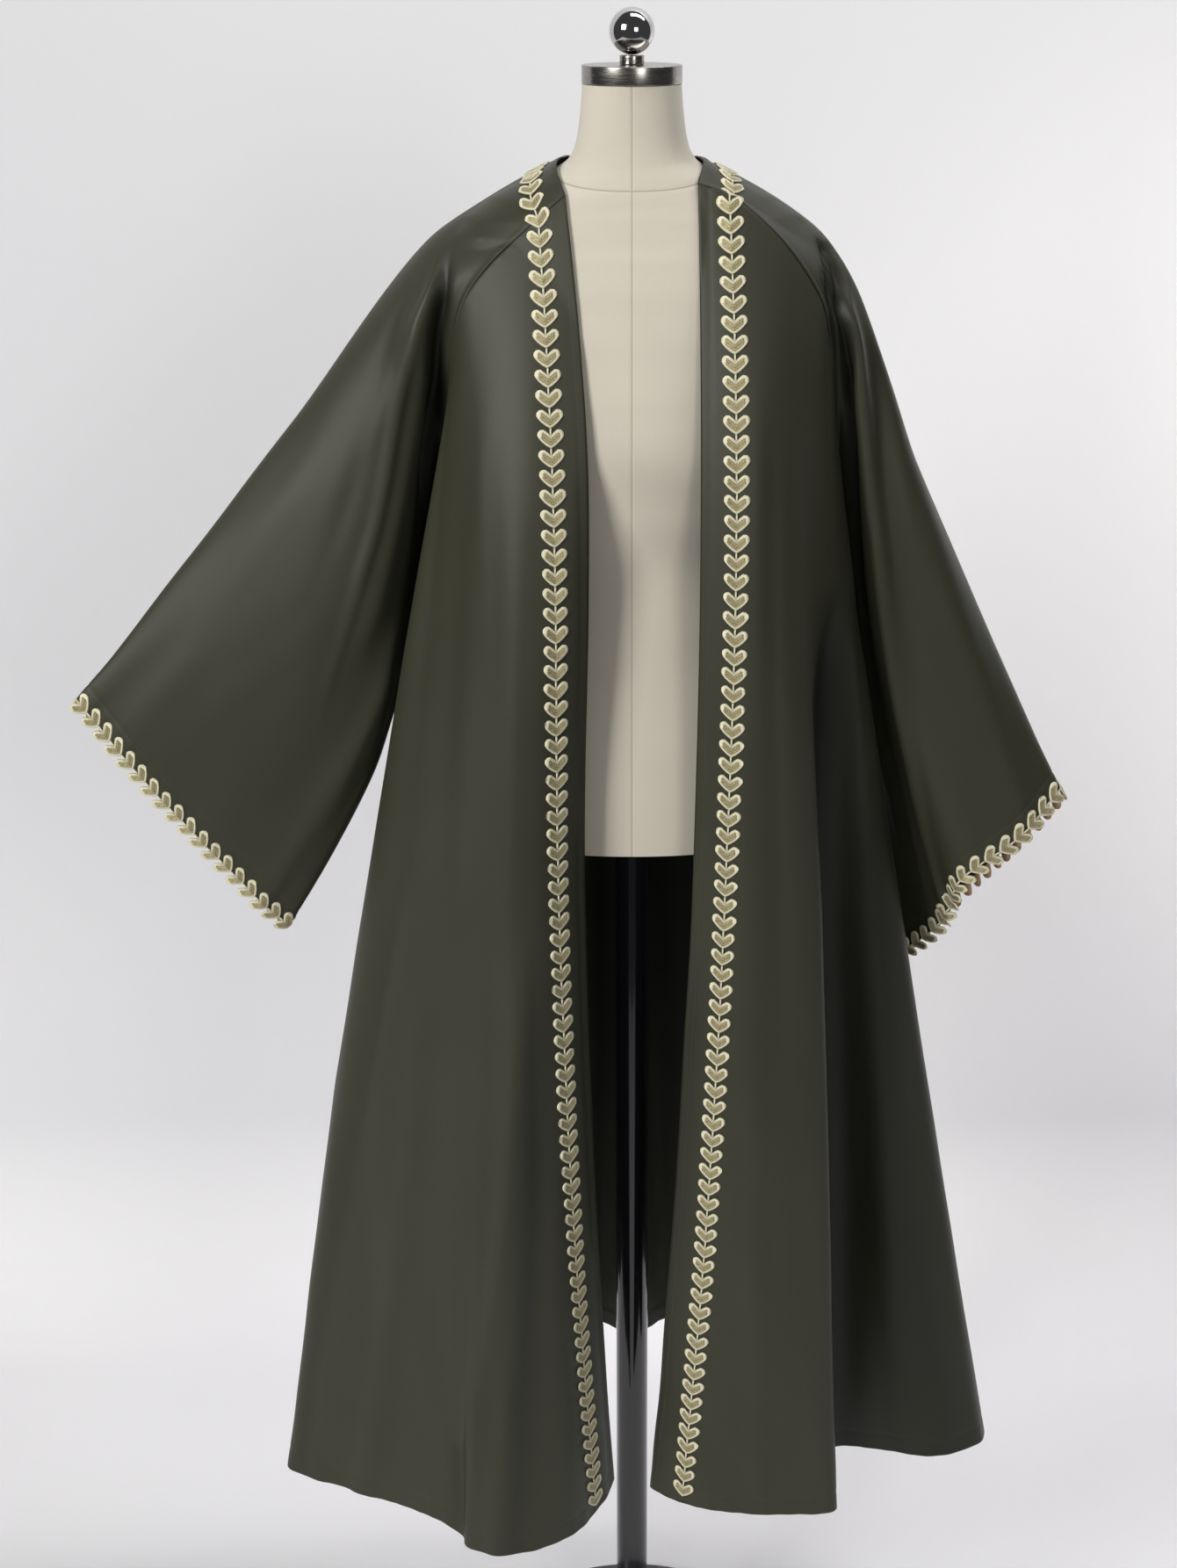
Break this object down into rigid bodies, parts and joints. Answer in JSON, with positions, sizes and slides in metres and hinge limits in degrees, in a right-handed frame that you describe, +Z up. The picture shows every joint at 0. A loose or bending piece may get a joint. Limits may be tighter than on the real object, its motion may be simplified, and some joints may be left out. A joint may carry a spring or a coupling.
{
  "type": "abaya cloak on dress form",
  "caption": "Full-length open-front abaya cloak with wide raglan sleeves and a heart-chain edge trim, standing on a limbless dress form with a capped neck, pole and round base.",
  "frame": {"origin": "centre of the round base's underside, on the pole's axis", "axes": "+Z up along the pole; the cloak's open front faces -Y and the wearer's right side is at -X"},
  "size_m": [1.1321, 0.501, 2.0872],
  "materials": {
    "cloak_cloth": "smooth matt crepe",
    "heart_trim": "corded and stitched metallic thread",
    "form_torso": "stretched linen",
    "neck_cap": "brushed",
    "finial_collar": "brushed",
    "finial_ball": "polished",
    "pole": "gloss black",
    "base": "gloss black"
  },
  "bodies": {
    "root": {"base": "base", "pole": "pole", "form_torso": "form_torso", "neck_cap": "neck_cap", "finial_collar": "finial_collar", "finial_ball": "finial_ball", "front_right": "cloak_cloth", "back": "cloak_cloth", "front_left": "cloak_cloth", "sleeve_right": "cloak_cloth", "sleeve_left": "cloak_cloth", "trim_right": "heart_trim", "trim_left": "heart_trim", "trim_cuff_right": "heart_trim", "trim_cuff_left": "heart_trim"}
  },
  "joints": []
}
